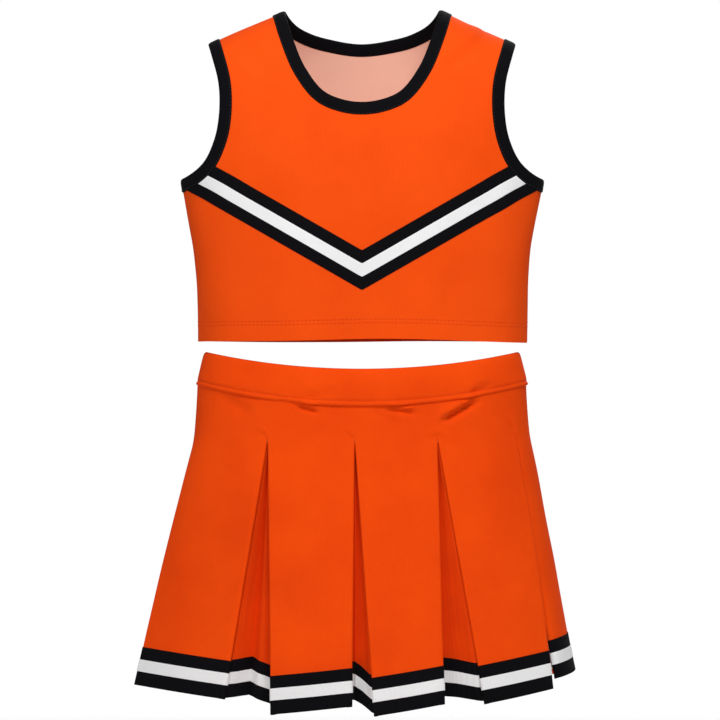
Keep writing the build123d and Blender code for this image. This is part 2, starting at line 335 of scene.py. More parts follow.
THREAD = knit("orange_thread", (0.80, 0.062, 0.004), (0.70, 0.050, 0.003), rough=0.55, sheen=0.1, rib=0.5)
BLACK_THREAD = knit(
    "black_thread", (0.02, 0.02, 0.022), (0.012, 0.012, 0.013), rough=0.5, sheen=0.05, rib=0.5)
ELASTIC = knit("white_elastic", (0.75, 0.75, 0.72), (0.68, 0.68, 0.66), rib=1.6, bump=0.8)

# ======== the top's form

# The form's half width and half depth at a few heights, and how it rolls over the shoulders
BODY_Z = (10, 80, 110, 170, 360)
BODY_WIDTH = (147.3, 148.5, 151, 162.5, 172)
BODY_DEPTH = (60, 63, 65, 68, 68)
BASE_Z, SOFT = 8.0, 9.0
ROLL_HEIGHT, ROLL_DEPTH = 150.0, 72.0
SIDE_SEAM = math.pi / 2


def softened(z, values):
    """A width or depth at a height, with the table's corners rounded off over SOFT millimetres each way."""
    z = np.asarray(z, float)
    return sum(np.interp(z + d * SOFT, BODY_Z, values) for d in (-1, -0.5, 0, 0.5, 1)) / 5


def half_width(z):
    return softened(z, BODY_WIDTH)


def shoulder_z(x):
    return 354.5 - 0.446 * np.abs(x)


def body_surface(theta, phi, side):
    """The cloth's inside. theta runs from side seam to side seam, phi from below the hem to the shoulder."""
    theta, phi = np.broadcast_arrays(np.asarray(theta, float), np.asarray(phi, float))
    z = np.full(theta.shape, 150.0)
    for _ in range(14):  # height and width depend on each other, and settle in a few rounds
        x = half_width(z) * np.sin(theta)
        z = BASE_Z + (shoulder_z(x) - BASE_Z) * np.sin(phi)
    x = half_width(z) * np.sin(theta)
    level = softened(z, BODY_DEPTH) * np.cos(theta)
    rise = np.clip(1 - (shoulder_z(x) - z) / ROLL_HEIGHT, 0, 1)
    roll = ROLL_DEPTH * np.sqrt(1 - rise ** 2) * np.sign(np.cos(phi) + 1e-12)
    y = 0.5 * (level + roll - np.sqrt((level - roll) ** 2 + 0.05 * level * roll + 1e-9))
    return np.stack([x, side * y, z], axis=-1)


def groove(x, z, a, b, width, depth):
    """A soft crease along a straight line in the front view."""
    a, b = np.array(a, float), np.array(b, float)
    along = b - a
    length = np.linalg.norm(along)
    along /= length
    t = (x - a[0]) * along[0] + (z - a[1]) * along[1]
    off = -(x - a[0]) * along[1] + (z - a[1]) * along[0]
    fade = smoothstep(-0.15 * length, 0.25 * length, t) * (1 - smoothstep(0.75 * length, 1.15 * length, t))
    beside = (off - 1.9 * width) / (1.3 * width)
    return -depth * fade * np.exp(-(off / width) ** 2) + 0.7 * depth * fade * np.exp(-beside ** 2)


# Creases in the top, in the front view: from, to, width, depth
FRONT_CREASES = (
    ((74, 268), (116, 305), 5.0, 1.6), ((-84, 262), (-108, 300), 7.0, 0.7),
    ((-150, 150), (-96, 186), 9.0, 0.9), ((150, 146), (98, 190), 9.0, 0.9),
    ((-60, 40), (-38, 96), 10.0, 0.8), ((66, 36), (88, 92), 9.0, 0.8))
BACK_CREASES = (((-100, 150), (-30, 235), 12.0, 1.4), ((104, 140), (38, 228), 12.0, 1.4))


def body_ripple(p, side):
    """How far worn cloth stands off its even form, by place on the body."""
    x, y, z = p[..., 0], p[..., 1], p[..., 2]
    around = np.arctan2(y * 2.2, x)
    near_hem = 1 - smoothstep(26, 110, z)
    out = 1.5 * near_hem * np.sin(5 * around + 0.7) + 0.9 * near_hem * np.sin(9 * around - 0.4)
    out = out + 0.45 * np.sin(x / 23 + z / 41) * np.sin(z / 29 - x / 57 + 0.8)
    out = out + 0.25 * np.sin(x / 9.5 - z / 17 + y / 12) * smoothstep(60, 200, z)
    for crease in FRONT_CREASES if side < 0 else BACK_CREASES:
        out = out + groove(x, z, *crease)
    return out


def on_body(theta, phi, side, lift):
    step = 1e-3
    p = body_surface(theta, phi, side)
    across = body_surface(theta + step, phi, side) - body_surface(theta - step, phi, side)
    upward = body_surface(theta, phi + step, side) - body_surface(theta, phi - step, side)
    normal = np.cross(across, upward) * -side
    normal /= np.maximum(np.linalg.norm(normal, axis=-1, keepdims=True), 1e-12)
    return p + normal * (np.asarray(lift, float) + body_ripple(p, side))[..., None], normal


def to_angles(x, z):
    theta = np.arcsin(np.clip(x / half_width(z), -1, 1))
    phi = np.arcsin(np.clip((z - BASE_Z) / (shoulder_z(x) - BASE_Z), -1, 1))
    return theta, phi


def at_front_view(xz, side, lift):
    theta, phi = to_angles(xz[..., 0], xz[..., 1])
    return on_body(theta, phi, side, lift)


# ======== the top's edges in the front view

BINDING = 11.0
NECK_FRONT = ((70.5, 326), (62, 297), (51.3, 271.8), (34.2, 250.2), (18, 243), (0, 240.5))
NECK_BACK = ((70.5, 326), (61.2, 313), (45, 304), (26, 299), (0, 295.8))
ARMHOLE = (
    (139.5, 297), (135, 282.6), (128.7, 257.4), (128.2, 228.6), (132.3, 207), (143, 185.4), (163.5, 171.5))
NECK_ENDS = (70.0, 80.6)  # how far out the neck's edge and its seam meet the shoulder line
ARM_FEET = (171.8, 160.6)  # how high the armhole's edge and its seam meet the side seam
HEM_LEVEL = 27.0  # where the hem's width is taken


def under_shoulder(curve):
    """Cuts a front-view curve where it reaches the shoulder line at either end."""
    inside = curve[:, 1] < shoulder_z(curve[:, 0])
    first, last = np.flatnonzero(inside)[[0, -1]]
    kept = list(curve[first:last + 1])
    for end, other in ((first, first - 1), (last, last + 1)):
        if 0 <= other < len(curve):
            a, b = curve[end], curve[other]
            gap_a, gap_b = shoulder_z(a[0]) - a[1], shoulder_z(b[0]) - b[1]
            kept.insert(0 if other < end else len(kept), a + (b - a) * gap_a / (gap_a - gap_b))
    return np.array(kept)


def at_ridge(curve, x):
    """Ends a neck curve on the shoulder line at a given distance from the middle."""
    curve = curve[np.abs(curve[:, 0]) < x - 0.4]
    return np.concatenate([[[x, shoulder_z(x)]], curve, [[-x, shoulder_z(x)]]])


def at_side_seam(curve, clear, foot):
    """Ends an armhole curve on the side seam at a given height."""
    curve = curve[curve[:, 0] < half_width(curve[:, 1]) - clear]
    return np.concatenate([curve, [[half_width(foot), foot]]])


neck = {}
for side, points in ((-1, NECK_FRONT), (1, NECK_BACK)):
    edge = spline([*points, *[(-x, z) for x, z in points[-2::-1]]], 420)
    curves = edge, sideways(edge, BINDING)
    neck[side] = [at_ridge(under_shoulder(curve), x) for curve, x in zip(curves, NECK_ENDS)]

armhole = spline(ARMHOLE, 300)
arm_edge = at_side_seam(under_shoulder(armhole), 0.2, ARM_FEET[0])
arm_seam = at_side_seam(under_shoulder(sideways(armhole, -BINDING)), 4, ARM_FEET[1])


def hem_z(x, side):
    if side < 0:
        return 27.6 - 2.6 * (np.abs(x) / 148) ** 2 + 0.7 * np.sin(x / 31 + 0.6)
    return 25.6 + 0.5 * np.sin(x / 37)


def panel_outline(side):
    """Front-view outline of a body panel, with its side seams at the form's own side."""
    theta = np.linspace(-SIDE_SEAM, SIDE_SEAM, 110)
    x = half_width(HEM_LEVEL) * np.sin(theta)
    hem = to_angles(x, hem_z(x, side))[1]
    loop = list(zip(theta, hem))
    seam_theta, seam_phi = to_angles(arm_seam[::-1, 0], arm_seam[::-1, 1])
    seam_theta[0] = SIDE_SEAM
    heights = np.linspace(hem[-1], seam_phi[0], 50)[1:-1]
    loop += [(SIDE_SEAM, p) for p in heights]
    loop += list(zip(seam_theta, seam_phi))
    neck_seam = even(neck[side][1], 150)
    ridge = [to_angles(v, shoulder_z(v))[0] for v in np.linspace(arm_seam[0, 0], neck_seam[0, 0], 16)[1:-1]]
    loop += [(t, math.pi / 2) for t in ridge]
    neck_theta, neck_phi = to_angles(neck_seam[:, 0], neck_seam[:, 1])
    loop += list(zip(neck_theta, neck_phi))
    loop += [(-t, math.pi / 2) for t in ridge[::-1]]
    loop += [(-t, p) for t, p in zip(seam_theta[::-1], seam_phi[::-1])]
    loop += [(-SIDE_SEAM, p) for p in heights[::-1]]
    return np.array([(float(t), float(p)) for t, p in loop])


# What theta and phi are multiplied by to mesh a panel flat, so that a unit is about a millimetre
DOMAIN = np.array([112.0, 200.0])
PANEL_SPACING = 3.2


def well_inside(points, loop, margin):
    """Which points lie inside an outline and at least a margin from it."""
    hit, best = np.zeros(len(points), bool), np.full(len(points), 1e9)
    for a, b in zip(loop, np.roll(loop, -1, axis=0)):
        d = b - a
        if d[1] != 0:
            crosses = (a[1] > points[:, 1]) != (b[1] > points[:, 1])
            hit ^= crosses & (points[:, 0] < d[0] * (points[:, 1] - a[1]) / d[1] + a[0])
        t = np.clip(((points - a) @ d) / max(d @ d, 1e-12), 0, 1)
        best = np.minimum(best, np.linalg.norm(points - a - t[:, None] * d, axis=1))
    return hit & (best > margin)


def body_panel(name, side):
    """A panel of the top: even points inside its outline, joined up and given the cloth's thickness."""
    loop = panel_outline(side) * DOMAIN
    loop = loop[np.linalg.norm(loop - np.roll(loop, 1, axis=0), axis=1) > 0.25]
    low, high = loop.min(0), loop.max(0)
    inner = []
    for i, v in enumerate(np.arange(low[1], high[1], PANEL_SPACING * 0.866)):
        row = np.arange(low[0] + (i % 2) * PANEL_SPACING / 2, high[0], PANEL_SPACING)
        inner.append(np.stack([row, np.full(len(row), v)], axis=1))
    inner = np.concatenate(inner)
    inner = inner[well_inside(inner, loop, PANEL_SPACING * 0.55)]
    verts = [Vector(p) for p in np.concatenate([loop, inner]).tolist()]
    edges = [(i, (i + 1) % len(loop)) for i in range(len(loop))]
    found, _, faces, *_ = delaunay_2d_cdt(verts, edges, [], 1, 1e-4)
    flat = np.array([(v.x, v.y) for v in found]) / DOMAIN
    outer, _ = on_body(flat[:, 0], flat[:, 1], side, CLOTH)
    under, _ = on_body(flat[:, 0], flat[:, 1], side, 0.0)
    faces = [list(f) if side < 0 else list(f)[::-1] for f in faces]
    count = len(outer)
    sides = [(a, b) for f in faces for a, b in zip(f, f[1:] + f[:1])]
    used = set(sides)
    rim = [[b, a, a + count, b + count] for a, b in sides if (b, a) not in used]
    all_faces = faces + [[v + count for v in f[::-1]] for f in faces] + rim
    slots = [0] * len(faces) + [1] * len(faces) + [0] * len(rim)
    obj = make_mesh(name, np.concatenate([outer, under]), all_faces, [ORANGE, PEACH], slots)
    sharpen(obj)
    tri = outer[np.array(faces)]
    area = 0.5 * np.linalg.norm(np.cross(tri[:, 1] - tri[:, 0], tri[:, 2] - tri[:, 0]), axis=1).sum()
    return obj, area / PER_METRE ** 2


top_front, front_area = body_panel("top_front", -1)
top_back, back_area = body_panel("top_back", 1)

# Folded binding's section, from its seam round the edge and back inside: (share of its width, lift)
BINDING_PROFILE = (
    (1.0, 1.15), (0.985, 1.75), (0.93, 2.15), (0.78, 2.3), (0.6, 2.25), (0.4, 2.3), (0.2, 2.25), (0.06, 1.95),
    (-0.02, 1.3), (-0.04, 0.6), (-0.02, -0.1), (0.06, -0.6), (0.25, -0.85), (0.55, -0.85), (0.85, -0.75),
    (0.97, -0.5), (1.0, 0.0))
TOPSTITCH_SHARE, TOPSTITCH_LIFT = 0.9, 2.22


def binding_ring(name, paths):
    """Binding round an opening. paths: (side, edge curve, seam curve) in order round it."""
    rings = []
    for side, edge, seam in paths:
        rows = []
        for across, lift in BINDING_PROFILE:
            wave = 0.12 * np.sin(np.arange(len(edge)) * 0.9 + across * 3) * (lift > 1.6)
            rows.append(at_front_view(lerp(edge, seam, across), side, np.full(len(edge), lift) + wave)[0])
        rings.append(np.stack(rows, axis=1)[:-1])
    return tube(name, np.concatenate(rings), BLACK)


def binding_stitches(name, paths):
    """Stitches round an opening, near the binding's sewn edge."""
    found = [at_front_view(lerp(edge, seam, TOPSTITCH_SHARE), side, np.full(len(edge), TOPSTITCH_LIFT))
             for side, edge, seam in paths]
    line, up = (np.concatenate(rows) for rows in zip(*found))
    return stitches(name, line, up, BLACK_THREAD, length=2.4)


def round_opening(front, back):
    return [(-1, *front), (1, *[curve[::-1] for curve in back])]


neck_path = round_opening([even(c, 170) for c in neck[-1]], [even(c, 150) for c in neck[1]])
arm_paths = {}
for word, mirror in (("right", (1.0, 1.0)), ("left", (-1.0, 1.0))):
    curves = [even(c, 120) * np.array(mirror) for c in (arm_edge, arm_seam)]
    arm_paths[word] = round_opening(curves, curves)
neck_binding = binding_ring("neck_bound_edge", neck_path)
arm_bindings = {w: binding_ring(f"armhole_bound_edge_{w}", path) for w, path in arm_paths.items()}
neck_stitching = binding_stitches("neck_topstitch", neck_path)
arm_stitching = {w: binding_stitches(f"armhole_topstitch_{w}", path) for w, path in arm_paths.items()}

# -------- chevron tapes
APEX_Z = 107.6
STRIPE = 11.95  # each of the chevron's three stripes, measured upright
SLOPE = math.tan(math.radians(30))
seam_by_height = arm_seam[arm_seam[:, 1] < 225][::-1]  # the armhole seam beside the chevron, from below


def stripe_end(c):
    """Where the line z = c + slope * x meets the armhole seam."""
    gap = seam_by_height[:, 1] - (c + SLOPE * seam_by_height[:, 0])
    i = int(np.argmax(gap > 0))
    if gap[0] > 0:
        return seam_by_height[0, 0] - 0.3
    t = gap[i - 1] / (gap[i - 1] - gap[i])
    return float(seam_by_height[i - 1, 0] + t * (seam_by_height[i, 0] - seam_by_height[i - 1, 0]))


def chevron_tape(name, top, bottom, base, height, material):
    lines = np.concatenate([[0.0], np.linspace(0, 1, 13), [1.0]])
    lifts = np.array([base, base + height * 0.7, *[base + height] * 11, base + height * 0.7, base])
    t = np.linspace(-1, 1, 181)
    outer, inner = [], []
    for w, lift in zip(lines, lifts):
        c = lerp(top, bottom, w)
        x = stripe_end(c) * t
        xz = np.stack([x, c + SLOPE * np.sqrt(x * x + 0.3)], axis=1)
        outer.append(at_front_view(xz, -1, np.full(len(t), lift))[0])
        inner.append(at_front_view(xz, -1, np.full(len(t), base - 0.25))[0])
    return slab(name, outer, inner, material, 70)


chevron_black = chevron_tape("chevron_black", APEX_Z, APEX_Z - 3 * STRIPE, CLOTH, 0.6, BLACK_TAPE)
chevron_white = chevron_tape(
    "chevron_white", APEX_Z - STRIPE, APEX_Z - 2 * STRIPE, CLOTH + 0.6, 0.45, WHITE_TAPE)

# -------- hem of the top
HEM_COUNT = 200
HEM_STITCH_HEIGHTS = (14.6, 17.8)

# The turned-up hem's section, round from its outer fold: (height above the hem, lift off the form)
TURN_UP = (
    (0.0, 0.2), (0.0, -0.5), (1.5, -0.95), (9, -1.0), (16, -0.95), (18, -0.6), (18, -0.05), (9, -0.05),
    (1.5, -0.05))


def hem_line(z_above, lift):
    """A closed line round the body at a height above the hem."""
    line, up = [], []
    for side in (-1, 1):
        theta = np.linspace(-SIDE_SEAM, SIDE_SEAM, HEM_COUNT)
        x = half_width(HEM_LEVEL) * np.sin(theta)
        z = hem_z(x, side) + z_above
        p, n = on_body(theta, to_angles(x, z)[1], side, np.full(HEM_COUNT, lift))
        order = slice(None) if side < 0 else slice(None, None, -1)
        line.append(p[order][:-1])
        up.append(n[order][:-1])
    return np.concatenate(line), np.concatenate(up)


hem_turn_up = tube("top_hem_turned_up", np.stack([hem_line(*place)[0] for place in TURN_UP], axis=1), ORANGE)
hem_rows = []
for i, up in enumerate(HEM_STITCH_HEIGHTS):
    line, normal = (np.concatenate([rows, rows[:1]]) for rows in hem_line(up, CLOTH))
    hem_rows.append(stitches(f"top_hem_stitch_row_{i + 1}", line, normal, THREAD, length=2.9, gap=0.8))

# ======== the skirt's form, as in the CAD

WAIST_A, WAIST_B = 144.0, 62.0
RELEASE_A, RELEASE_B = 152.0, 68.0
HEM_A, HEM_B = 204.0, 104.0
RELEASE_Z, HEM_Z, HEM_RISE = -60.0, -304.0, 26.0
BAND_OUT = 4.5  # from the waist opening to the yoke under the band's outside
BAND_CENTRE, BAND_SIDE, WAIST_RISE = -32.5, -14.0, 15.0
PLEATS = 9
PLEAT_TOP_X = (-151.4, -85, -6.7, 68, 140)
PLEAT_HEM_X = (-203, -82, 11, 110, 180)
PLEAT_OPENING = (46, 20, 37, 10, 30, 30, 30, 30, 34)
PLEAT_TILT = (4, 4, 4, 4, -4, 4, 4, 4, 4)
TRIM = (12.0, 22.8, 34.2)  # up from the hem: the white tape's two edges, the black tape's upper edge
WALK_STEPS = 2880


def walk(a, b):
    """An ellipse from its front middle round to the right, and the length along it at every point."""
    t = np.linspace(0, 2 * math.pi, WALK_STEPS + 1)
    points = np.stack([a * np.sin(t), -b * np.cos(t)], axis=1)
    return points, lengths_along(points)


def point_on(ring, s):
    points, distance = ring
    return at_lengths(np.mod(s, distance[-1]), distance, points)


def pleat_starts(ring, front_x):
    """Lengths round an ellipse to each pleat: the front ones by their x, the rest evenly over what is left."""
    points, distance = ring
    quarter = len(points) // 4 + 1
    starts = [
        math.copysign(float(np.interp(abs(x), points[:quarter, 0], distance[:quarter])), x) for x in front_x]
    rest = PLEATS - len(starts) + 1
    left_over = distance[-1] + starts[0] - starts[-1]
    return starts + [starts[-1] + left_over * k / rest for k in range(1, rest)]


release_ring, hem_ring = walk(RELEASE_A, RELEASE_B), walk(HEM_A, HEM_B)
release_starts = pleat_starts(release_ring, PLEAT_TOP_X)
hem_starts = pleat_starts(hem_ring, PLEAT_HEM_X)
release = [np.array([*point_on(release_ring, s), RELEASE_Z]) for s in release_starts]


def hem_point(s):
    x, y = point_on(hem_ring, s)
    return np.array([x, y, HEM_Z + HEM_RISE * (x / HEM_A) ** 2])


class Slope:
    """The plane that a pleat panel lies in, from its ends on the release line to its hem corners."""

    def __init__(self, i):
        self.start, self.end = release[i], release[(i + 1) % PLEATS]
        self.along = unit(self.end - self.start)
        self.level_out = np.cross(self.along, UP)
        next_start = hem_starts[i + 1] if i + 1 < PLEATS else hem_starts[0] + hem_ring[1][-1]
        left = hem_point(hem_starts[i]) - UP * PLEAT_TILT[i]
        right = hem_point(next_start - PLEAT_OPENING[i]) + UP * PLEAT_TILT[i]
        middle = (left + right) / 2 - self.start
        self.down = unit(self.level_out * (middle @ self.level_out) + UP * middle[2])
        self.out = unit(np.cross(self.down, self.along))
        if self.out @ self.level_out < 0:
            self.out = -self.out
        self.hem_left, self.hem_right = self.put(left), self.put(right)

    def put(self, point):
        offset = point - self.start
        return self.start + self.along * (offset @ self.along) + self.down * (offset[2] / self.down[2])


slopes = [Slope(i) for i in range(PLEATS)]


def seam_z(x):
    return BAND_CENTRE + (BAND_SIDE - BAND_CENTRE) * (x / WAIST_A) ** 2


def waist_top_z(x):
    return WAIST_RISE * (x / WAIST_A) ** 2


waist_ring = walk(WAIST_A + BAND_OUT, WAIST_B + BAND_OUT)
WAIST_SHARE = waist_ring[1][-1] / release_ring[1][-1]


def soft_noise(p, scale, seed):
    """Even, repeatable waviness in space."""
    q = p / scale + seed * np.array([3.1, 1.7, 2.3])
    return (np.sin(q[..., 0] + 1.7 * np.sin(q[..., 2] * 0.9 + seed)) * np.sin(q[..., 2] * 1.13 + q[..., 1])
            + 0.6 * np.sin(1.9 * q[..., 0] - 1.3 * q[..., 2] + 2 * seed)) / 1.6


# Puckers where the skirt is gathered a little into the band, in the front view: from, to, width, depth
FRONT_PUCKERS = (
    ((-49, -23.8), (-24, -20.2), 2.0, 2.0), ((-58, -31.5), (-40, -38), 2.1, 3.6),
    ((-76, -27), (-58, -31), 2.2, 1.0), ((73, -46), (105, -27), 2.7, 5.4), ((22, -35), (48, -38.5), 2.1, 3.2),
    ((98, -20.5), (117, -12), 2.4, 2.6), ((66, -58), (78, -66), 2.2, 1.0), ((60, -62), (69, -58), 1.6, 1.0),
    ((-94, -55), (-86, -60), 1.6, 1.1), ((-15, -56), (-8, -61), 1.6, 1.0), ((132, -46), (139, -53), 1.8, 1.2),
    ((-128, -24), (-100, -40), 6.0, 1.1), ((6, -34), (34, -50), 5.0, 0.8), ((-112, 0), (-84, -9), 4.5, 0.5))
BACK_PUCKERS = (
    ((-58, -32), (-80, -44), 2.8, 1.9), ((38, -34), (62, -45), 2.6, 1.8), ((-6, -36), (12, -52), 3.2, 1.3))


def pucker(p):
    x, y, z = p[..., 0], p[..., 1], p[..., 2]
    front = sum(groove(x, z, *fold) for fold in FRONT_PUCKERS)
    back = sum(groove(x, z, *fold) for fold in BACK_PUCKERS)
    return np.where(y < 0, front, back)


# -------- pleat panels: yoke and panel in one length of cloth
YOKE_ROWS, PANEL_ROWS = 14, 66

# Columns across a panel, as shares of its width: close together at its two folded edges
PANEL_WIDTH = 90
LEFT_COLUMNS = (0, 0.25, 0.6, 1.1, 1.8, 3.0, 5.0, 8.0)
RIGHT_COLUMNS = (0, 0.3, 0.8, 1.5, 2.3, 3.2, 5.0, 8.0)
ACROSS = np.concatenate([
    np.array(LEFT_COLUMNS) / PANEL_WIDTH, np.linspace(12 / PANEL_WIDTH, 1 - 12 / PANEL_WIDTH, 20),
    1 - np.array(RIGHT_COLUMNS[::-1]) / PANEL_WIDTH])

# How far in from a panel's left and right edge its fold rounds off, and how deep
LEFT_FOLD, RIGHT_FOLD = (1.8, 1.1), (3.2, 1.7)
FOLD_THICKNESS = 2.4

# Per panel: how far its edges bow to the viewer's right, its swell at the hem and halfway down, how flat the
# swell is across, how soon it leaves the yoke's round form, and its hem corners' shifts
EDGE_BOWS = {(0, "left"): -1.5, (3, "right"): 3.0, (4, "left"): -1.5}
HEM_SWELL = (4.5, 3.0, 3.0, 4.5, 14.5, 3.5, 3.0, 3.0, 8.0)
MID_SWELL = (-1.6, -1.6, -1.6, -1.6, 4.0, -1.6, -1.6, -1.6, -1.6)
SWELL_SHAPE = (1, 1, 1, 1, 0.5, 1, 1, 1, 0.8)
ROUND_FADE = (0.85, 0.85, 0.85, 0.85, 1.2, 0.85, 0.85, 0.85, 0.85)
LEFT_CORNER = (
    (0, 0, 0), (0, 0, -3), (0, 0, 0), (0, 0, 3), (-22, -3, 4), (0, 0, 14), (0, 0, 9), (0, 0, 9), (0, 0, 9))
RIGHT_CORNER = (
    (-1, 0, -4), (0, 0, 0), (0, 0, -1.4), (0, 0, -4), (0, 0, 14), (0, 0, 9), (0, 0, 9), (0, 0, 9), (0, 0, 6))

# From which share of its fall a panel's wrong side is turned-up hem, and the width folded under at its sides
TURN_UP_FALL, FOLDED_UNDER = 0.865, 4.0


def panel_edge(i, f, side):
    """A panel's left or right edge, from the release line (f = 0) to the hem (f = 1)."""
    f = np.asarray(f, float)[..., None]
    slope = slopes[i]
    ends = {"left": (slope.start, slope.hem_left + LEFT_CORNER[i]),
            "right": (slope.end, slope.hem_right + RIGHT_CORNER[i])}
    bow = np.array([EDGE_BOWS.get((i, side), 0), 0, 0])
    return lerp(*ends[side], f) + bow * np.sin(math.pi * f)


def panel_surface(i):
    """Rows of points from the waist seam to the hem, and each row's share of the fall."""
    slope = slopes[i]
    next_start = release_starts[i + 1] if i + 1 < PLEATS else release_starts[0] + release_ring[1][-1]
    ring_s = lerp(release_starts[i], next_start, ACROSS)
    top = point_on(waist_ring, ring_s * WAIST_SHARE)
    ring = point_on(release_ring, ring_s)
    chord = lerp(slope.start, slope.end, ACROSS[:, None])
    full = np.concatenate([ring, np.full((len(ACROSS), 1), RELEASE_Z)], axis=1)
    arch = (4 * ACROSS * (1 - ACROSS)) ** SWELL_SHAPE[i]
    rows = []
    for r in range(YOKE_ROWS):
        z = lerp(seam_z(top[:, 0]) + 0.8, RELEASE_Z, r / YOKE_ROWS)
        share = (r / YOKE_ROWS) ** 1.3
        rows.append(np.concatenate([lerp(top, ring, share), z[:, None]], axis=1))
    hem_bow = (1.5 - 2.5 * (ACROSS - 0.35) ** 2)[:, None] * slope.down
    for r in range(PANEL_ROWS + 1):
        f = r / PANEL_ROWS
        flat = lerp(panel_edge(i, f, "left"), panel_edge(i, f, "right"), ACROSS[:, None])
        round_top = (full - chord) * (1 - f) ** ROUND_FADE[i]
        hollow = MID_SWELL[i] * math.sin(math.pi * f) * (1 - 0.4 * f)
        swell = (HEM_SWELL[i] * f + hollow) * arch
        rows.append(flat + hem_bow * f + round_top + slope.out * swell[:, None])
    points = np.array(rows)
    crisp = points.copy()
    for _ in range(4):
        points[1:-1] = (points[:-2] + 2 * points[1:-1] + points[2:]) / 4
    points = lerp(crisp, points, smoothstep(0.0, 0.1, np.minimum(ACROSS, 1 - ACROSS))[None, :, None])
    fall = np.concatenate([np.zeros(YOKE_ROWS), np.arange(PANEL_ROWS + 1) / PANEL_ROWS])
    return points, fall


def panel_relief(points, fall, i):
    """Soft unevenness: puckers by the waist, a slight waviness all over, and long folds down the cloth that
    grow towards the hem.
    """
    lower = smoothstep(0.15, 1.0, fall)[:, None]
    below_seam = smoothstep(0.0, 4.0, seam_z(points[..., 0]) - points[..., 2])
    return (pucker(points) * below_seam + 0.4 * soft_noise(points, 26.0, 1.0)
            + 1.1 * lower * soft_noise(points * np.array([1.0, 1.0, 0.25]), 17.0, 0.37 * i + 0.5))


def panel_faces(i):
    """The cloth's right side and wrong side, the width to every point from the nearer edge, and the fall."""
    points, fall = panel_surface(i)
    normal = grid_normals(points, (PANEL_ROWS // 2, len(ACROSS) // 2), slopes[i].out)
    width = np.linalg.norm(points[:, -1] - points[:, 0], axis=1)[:, None]
    to_edge = np.minimum(ACROSS, 1 - ACROSS)[None, :] * width
    eased = 1 - 0.7 * smoothstep(0.0, 0.1, fall)[:, None] * (1 - smoothstep(0.0, 10.0, to_edge))
    points = points + normal * (panel_relief(points, fall, i) * eased)[..., None]
    free = smoothstep(0.0, 0.06, fall)[:, None]
    drop = 0
    for (reach, depth), place in ((LEFT_FOLD, ACROSS), (RIGHT_FOLD, 1 - ACROSS)):
        near = np.clip(place[None, :] * width / reach, 0, 1)
        drop = drop + depth * (1 - np.sqrt(1 - (1 - near) ** 2))
    thick = CLOTH + free * (FOLD_THICKNESS - CLOTH) * (1 - smoothstep(7.0, 11.0, to_edge))
    front = points - normal * (free * drop)[..., None]
    turned_up = 0.9 * smoothstep(0.86, 0.87, fall)[:, None] * smoothstep(6.0, 10.0, to_edge)
    back = points - normal * (thick + turned_up)[..., None]
    return front, back, to_edge, fall


def panel_piece(i):
    front, back, to_edge, fall = panel_faces(i)
    down, to_side = fall[:-1, None], np.minimum(to_edge[:-1, :-1], to_edge[:-1, 1:])
    turned = (down > TURN_UP_FALL) | ((down > 0) & (to_side < FOLDED_UNDER))
    obj = slab(f"pleat_panel_{i + 1}", front, back, ORANGE_SKIRT, wrong=~turned.ravel())
    return obj, grid_area(front) / PER_METRE ** 2


def rows_at(grid, level):
    """A grid's points the given distance up from its last row, measured down every column."""
    if level < 0:
        return grid[-1] - unit(grid[-1] - grid[-3]) * level
    step = np.linalg.norm(np.diff(grid, axis=0), axis=2)
    length = np.concatenate([np.zeros((1, grid.shape[1])), np.cumsum(step, axis=0)])
    above = length[-1][None, :] - length
    return np.array([at_lengths(level, above[::-1, c], grid[::-1, c]) for c in range(grid.shape[1])])


def tape_shell(name, line_at, low, high, lift, height, material, down, facing):
    """A tape lying on lines across the cloth, from low to high millimetres above the hem."""
    levels = np.concatenate([[low, low], np.linspace(low + 0.6, high - 0.6, 8), [high, high]])
    rises = np.array([0.0, height * 0.7, *[height] * 8, height * 0.7, 0.0])
    outer, inner = [], []
    for level, rise in zip(levels, rises):
        path = line_at(level)
        out = unit(np.cross(down, unit(np.gradient(path, axis=0))))
        if out[len(out) // 2] @ facing < 0:
            out = -out
        outer.append(path + out * (lift + rise))
        inner.append(path + out * (lift - 0.3))
    return slab(name, outer, inner, material)


def hem_trim(name, line_at, overhang, black, white, down, facing):
    """The black tape over a piece's hem, and the white tape on it, by their thicknesses."""
    lift = 0.05
    return (
        tape_shell(f"{name}_tape", line_at, -overhang, TRIM[2], lift, black, BLACK_TAPE, down, facing),
        tape_shell(f"{name}_stripe", line_at, TRIM[0], TRIM[1], lift + black, white, WHITE_TAPE, down, facing))


def panel_trim(i):
    """A panel's hem tapes, turned round both its edges to the wrong side."""
    front, back = panel_faces(i)[:2]

    def line_at(level):
        face, wrong = rows_at(front, level), rows_at(back, level)
        return np.concatenate([wrong[6:0:-1], wrong[:1], face, wrong[-1:], wrong[-2:-8:-1]])

    return hem_trim(f"pleat_panel_{i + 1}", line_at, 0.6, 0.5, 0.35, slopes[i].down, slopes[i].out)


panels, panel_tapes = [], []
for i in range(PLEATS):
    panels.append(panel_piece(i))
    panel_tapes.append(panel_trim(i))

# -------- underlays: the folds behind the openings
INSET_ROWS = 60
INSET_COLUMNS = (6, 8, 8, 8, 8, 7)

# Per underlay: (place across the opening, depth share) of the valley, the ridge and the second dip
HIDDEN_FOLDS = ((0.12, 1.0), (0.5, 0.7), (0.8, 0.4))
INSET_FOLDS = (
    ((0.15, 1.0), (0.5, 0.7), (0.8, 0.45)), ((0.3, 1.0), (0.58, 0.55), (0.86, 0.75)),
    ((0.08, 1.0), (0.45, 0.8), (0.75, 0.5)), ((0.08, 1.0), (0.45, 0.72), (0.75, 0.35)),
    ((0.12, 1.0), (0.5, 0.8), (0.8, 0.5)), *[HIDDEN_FOLDS] * 4)

